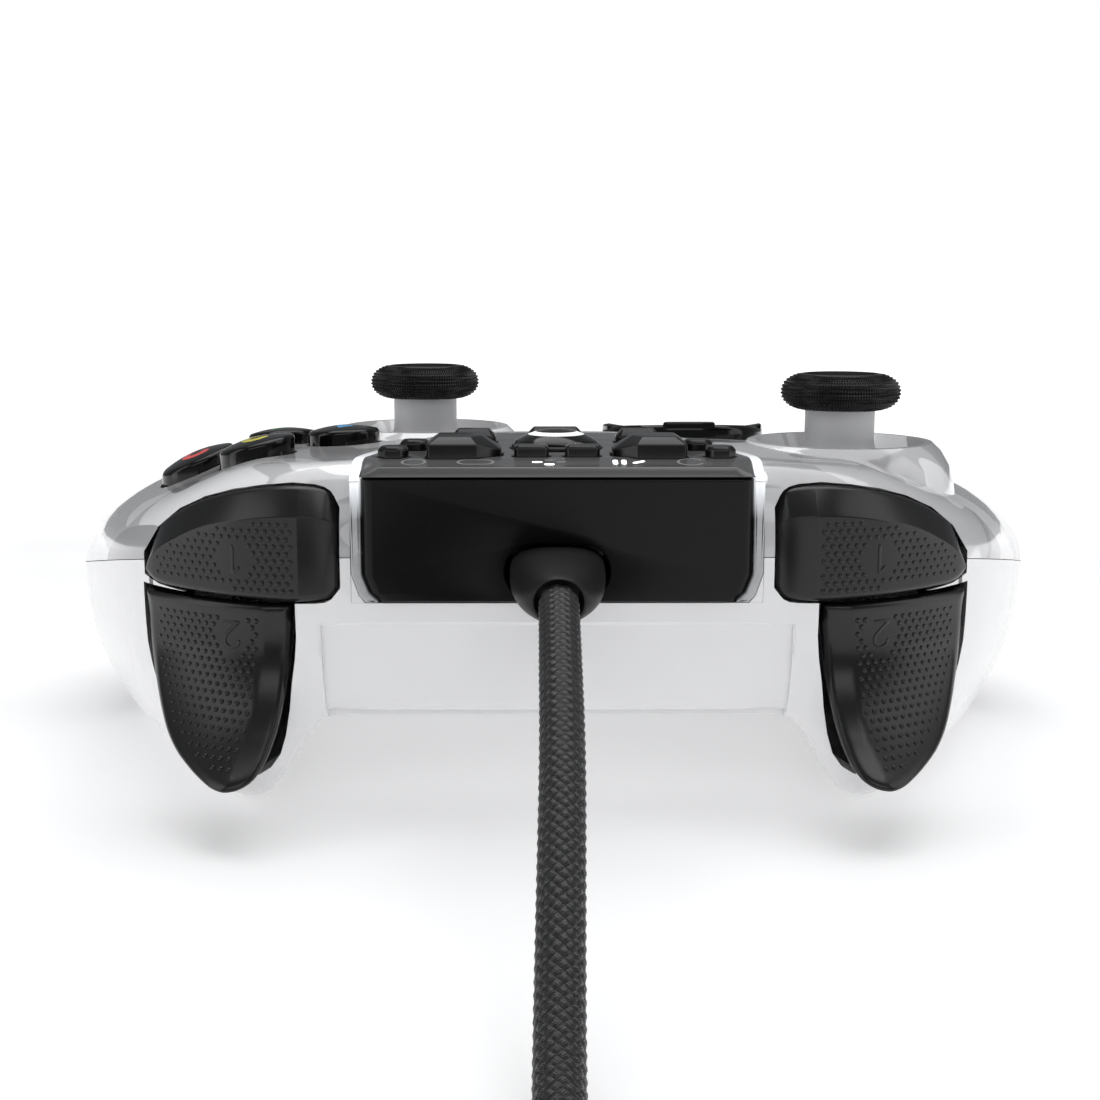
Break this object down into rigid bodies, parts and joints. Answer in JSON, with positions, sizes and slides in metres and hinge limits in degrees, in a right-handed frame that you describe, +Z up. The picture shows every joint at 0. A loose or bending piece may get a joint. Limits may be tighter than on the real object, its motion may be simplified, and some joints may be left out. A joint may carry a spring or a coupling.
{
  "type": "gamepad controller",
  "caption": "Wired two-handed gamepad controller with sticks, direction pad, face buttons, bumpers, triggers, control panel and braided lead.",
  "frame": {"origin": "centre of the controller's footprint (lead not counted) on the surface that it rests on", "axes": "+X to the player's left, across the two grips; -Y towards the shoulder side where the triggers and the lead are; +Z up out of the face"},
  "size_m": [0.1548, 0.2718, 0.0585],
  "materials": {
    "shell_print": "glossy white with a printed pattern of light and mid grey patches",
    "shell_white": "glossy",
    "grip_texture": "fine leathery texture",
    "black_satin": "satin",
    "panel_grey": "satin",
    "light_white": "translucent, lit",
    "board_green": "satin solder mask",
    "silicone": "matt",
    "steel": "brushed",
    "inner_black": "satin",
    "stick_grey": "satin",
    "tyre_black": "matt, knurled",
    "black_gloss": "glossy",
    "cord_braid": "diamond braid",
    "black_soft": "satin"
  },
  "bodies": {
    "housing": {"top_shell": "shell_print", "rear_shell": "shell_white", "left_side_grip": "grip_texture", "right_side_grip": "grip_texture", "front_cover": "black_satin", "dash_panel": "panel_grey", "light_guide": "light_white", "main_board": "board_green", "button_board": "board_green", "rubber_domes": "silicone", "usb_receptacle": "steel", "headset_jack": "inner_black", "left_stick_housing": "inner_black", "right_stick_housing": "inner_black", "trigger_brackets": "steel", "trigger_pins": "steel", "left_trigger_spring": "steel", "right_trigger_spring": "steel", "left_motor": "steel", "right_motor": "steel", "screws": "steel", "cable_plug": "black_satin", "cord_tube": "cord_braid", "cord_coil": "cord_braid", "cord_tie": "black_soft", "usb_plug_body": "black_soft", "usb_plug_shell": "steel"},
    "left_stick_carriage": {"left_stick_seat": "inner_black"},
    "left_stick_rocker": {"left_stick_yoke": "inner_black"},
    "left_stick": {"left_stick_post": "stick_grey", "left_stick_cap": "tyre_black"},
    "right_stick_carriage": {"right_stick_seat": "inner_black"},
    "right_stick_rocker": {"right_stick_yoke": "inner_black"},
    "right_stick": {"right_stick_post": "stick_grey", "right_stick_cap": "tyre_black"},
    "dpad_rocker": {"dpad_pivot": "inner_black"},
    "dpad": {"dpad": "black_gloss"},
    "blue_button": {"blue_button": "black_gloss"},
    "green_button": {"green_button": "black_gloss"},
    "red_button": {"red_button": "black_gloss"},
    "yellow_button": {"yellow_button": "black_gloss"},
    "guide_button": {"guide_button": "black_gloss"},
    "menu_button": {"menu_button": "black_gloss"},
    "view_button": {"view_button": "black_gloss"},
    "share_button": {"share_button": "black_gloss"},
    "mode_button": {"mode_button": "black_gloss"},
    "select_button": {"select_button": "black_gloss"},
    "left_large_button": {"left_large_button": "black_gloss"},
    "right_large_button": {"right_large_button": "black_gloss"},
    "left_front_small_button": {"left_front_small_button": "black_gloss"},
    "right_front_small_button": {"right_front_small_button": "black_gloss"},
    "left_rear_small_button": {"left_rear_small_button": "black_gloss"},
    "right_rear_small_button": {"right_rear_small_button": "black_gloss"},
    "left_bumper": {"left_bumper": "black_satin"},
    "left_trigger": {"left_trigger": "black_satin"},
    "left_motor_weight": {"left_motor_weight": "steel"},
    "right_bumper": {"right_bumper": "black_satin"},
    "right_trigger": {"right_trigger": "black_satin"},
    "right_motor_weight": {"right_motor_weight": "steel"}
  },
  "joints": [
    {"name": "left_stick_press", "type": "slide", "parent": "housing", "child": "left_stick_carriage", "axis": [0, 0, -1], "range_m": [0, 0.0003], "stiffness_N_per_m": 5000, "springref_m": -0.0003},
    {"name": "left_stick_tilt_x", "type": "hinge", "parent": "left_stick_carriage", "child": "left_stick_rocker", "pos_m": [0.0418, -0.0098, 0.035], "axis": [1, 0, 0], "range_deg": [-14, 14], "stiffness_Nm_per_rad": 0.04},
    {"name": "left_stick_tilt_y", "type": "hinge", "parent": "left_stick_rocker", "child": "left_stick", "pos_m": [0.0418, -0.0098, 0.035], "axis": [0, 1, 0], "range_deg": [-14, 14], "stiffness_Nm_per_rad": 0.04},
    {"name": "right_stick_press", "type": "slide", "parent": "housing", "child": "right_stick_carriage", "axis": [0, 0, -1], "range_m": [0, 0.0003], "stiffness_N_per_m": 5000, "springref_m": -0.0003},
    {"name": "right_stick_tilt_x", "type": "hinge", "parent": "right_stick_carriage", "child": "right_stick_rocker", "pos_m": [-0.0208, 0.0141, 0.035], "axis": [1, 0, 0], "range_deg": [-14, 14], "stiffness_Nm_per_rad": 0.04},
    {"name": "right_stick_tilt_y", "type": "hinge", "parent": "right_stick_rocker", "child": "right_stick", "pos_m": [-0.0208, 0.0141, 0.035], "axis": [0, 1, 0], "range_deg": [-14, 14], "stiffness_Nm_per_rad": 0.04},
    {"name": "dpad_tilt_x", "type": "hinge", "parent": "housing", "child": "dpad_rocker", "pos_m": [0.0208, 0.0141, 0.0414], "axis": [1, 0, 0], "range_deg": [-4.5, 4.5], "stiffness_Nm_per_rad": 0.3},
    {"name": "dpad_tilt_y", "type": "hinge", "parent": "dpad_rocker", "child": "dpad", "pos_m": [0.0208, 0.0141, 0.0414], "axis": [0, 1, 0], "range_deg": [-4.5, 4.5], "stiffness_Nm_per_rad": 0.3},
    {"name": "blue_button_press", "type": "slide", "parent": "housing", "child": "blue_button", "axis": [0, 0, -1], "range_m": [0, 0.0012], "stiffness_N_per_m": 900, "springref_m": -0.0003},
    {"name": "green_button_press", "type": "slide", "parent": "housing", "child": "green_button", "axis": [0, 0, -1], "range_m": [0, 0.0012], "stiffness_N_per_m": 900, "springref_m": -0.0003},
    {"name": "red_button_press", "type": "slide", "parent": "housing", "child": "red_button", "axis": [0, 0, -1], "range_m": [0, 0.0012], "stiffness_N_per_m": 900, "springref_m": -0.0003},
    {"name": "yellow_button_press", "type": "slide", "parent": "housing", "child": "yellow_button", "axis": [0, 0, -1], "range_m": [0, 0.0012], "stiffness_N_per_m": 900, "springref_m": -0.0003},
    {"name": "guide_button_press", "type": "slide", "parent": "housing", "child": "guide_button", "axis": [0, 0, -1], "range_m": [0, 0.0005], "stiffness_N_per_m": 2500, "springref_m": -0.0002},
    {"name": "menu_button_press", "type": "slide", "parent": "housing", "child": "menu_button", "axis": [0, 0, -1], "range_m": [0, 0.0005], "stiffness_N_per_m": 2500, "springref_m": -0.0002},
    {"name": "view_button_press", "type": "slide", "parent": "housing", "child": "view_button", "axis": [0, 0, -1], "range_m": [0, 0.0005], "stiffness_N_per_m": 2500, "springref_m": -0.0002},
    {"name": "share_button_press", "type": "slide", "parent": "housing", "child": "share_button", "axis": [0, 0, -1], "range_m": [0, 0.0005], "stiffness_N_per_m": 2500, "springref_m": -0.0002},
    {"name": "mode_button_press", "type": "slide", "parent": "housing", "child": "mode_button", "axis": [0, 0, -1], "range_m": [0, 0.0005], "stiffness_N_per_m": 2500, "springref_m": -0.0002},
    {"name": "select_button_press", "type": "slide", "parent": "housing", "child": "select_button", "axis": [0, 0, -1], "range_m": [0, 0.0005], "stiffness_N_per_m": 2500, "springref_m": -0.0002},
    {"name": "left_large_button_press", "type": "slide", "parent": "housing", "child": "left_large_button", "axis": [0, 0, -1], "range_m": [0, 0.0005], "stiffness_N_per_m": 2500, "springref_m": -0.0002},
    {"name": "right_large_button_press", "type": "slide", "parent": "housing", "child": "right_large_button", "axis": [0, 0, -1], "range_m": [0, 0.0005], "stiffness_N_per_m": 2500, "springref_m": -0.0002},
    {"name": "left_front_small_button_press", "type": "slide", "parent": "housing", "child": "left_front_small_button", "axis": [0, 0, -1], "range_m": [0, 0.0005], "stiffness_N_per_m": 2500, "springref_m": -0.0002},
    {"name": "right_front_small_button_press", "type": "slide", "parent": "housing", "child": "right_front_small_button", "axis": [0, 0, -1], "range_m": [0, 0.0005], "stiffness_N_per_m": 2500, "springref_m": -0.0002},
    {"name": "left_rear_small_button_press", "type": "slide", "parent": "housing", "child": "left_rear_small_button", "axis": [0, 0, -1], "range_m": [0, 0.0005], "stiffness_N_per_m": 2500, "springref_m": -0.0002},
    {"name": "right_rear_small_button_press", "type": "slide", "parent": "housing", "child": "right_rear_small_button", "axis": [0, 0, -1], "range_m": [0, 0.0005], "stiffness_N_per_m": 2500, "springref_m": -0.0002},
    {"name": "left_bumper_press", "type": "hinge", "parent": "housing", "child": "left_bumper", "pos_m": [0.0292, -0.041, 0.038], "axis": [0, 0, 1], "range_deg": [0, 2.6], "stiffness_Nm_per_rad": 1, "springref_deg": -1.72},
    {"name": "left_trigger_pull", "type": "hinge", "parent": "housing", "child": "left_trigger", "pos_m": [0.0423, -0.0295, 0.027], "axis": [1, 0, 0], "range_deg": [0, 15], "stiffness_Nm_per_rad": 0.25, "springref_deg": -5.73},
    {"name": "left_motor_spin", "type": "hinge", "parent": "housing", "child": "left_motor_weight", "pos_m": [0.0595, 0.017, 0.0166], "axis": [0, 1, 0], "continuous": true},
    {"name": "right_bumper_press", "type": "hinge", "parent": "housing", "child": "right_bumper", "pos_m": [-0.0292, -0.041, 0.038], "axis": [0, 0, -1], "range_deg": [0, 2.6], "stiffness_Nm_per_rad": 1, "springref_deg": -1.72},
    {"name": "right_trigger_pull", "type": "hinge", "parent": "housing", "child": "right_trigger", "pos_m": [-0.0423, -0.0295, 0.027], "axis": [1, 0, 0], "range_deg": [0, 15], "stiffness_Nm_per_rad": 0.25, "springref_deg": -5.73},
    {"name": "right_motor_spin", "type": "hinge", "parent": "housing", "child": "right_motor_weight", "pos_m": [-0.0595, 0.017, 0.0166], "axis": [0, 1, 0], "continuous": true}
  ]
}
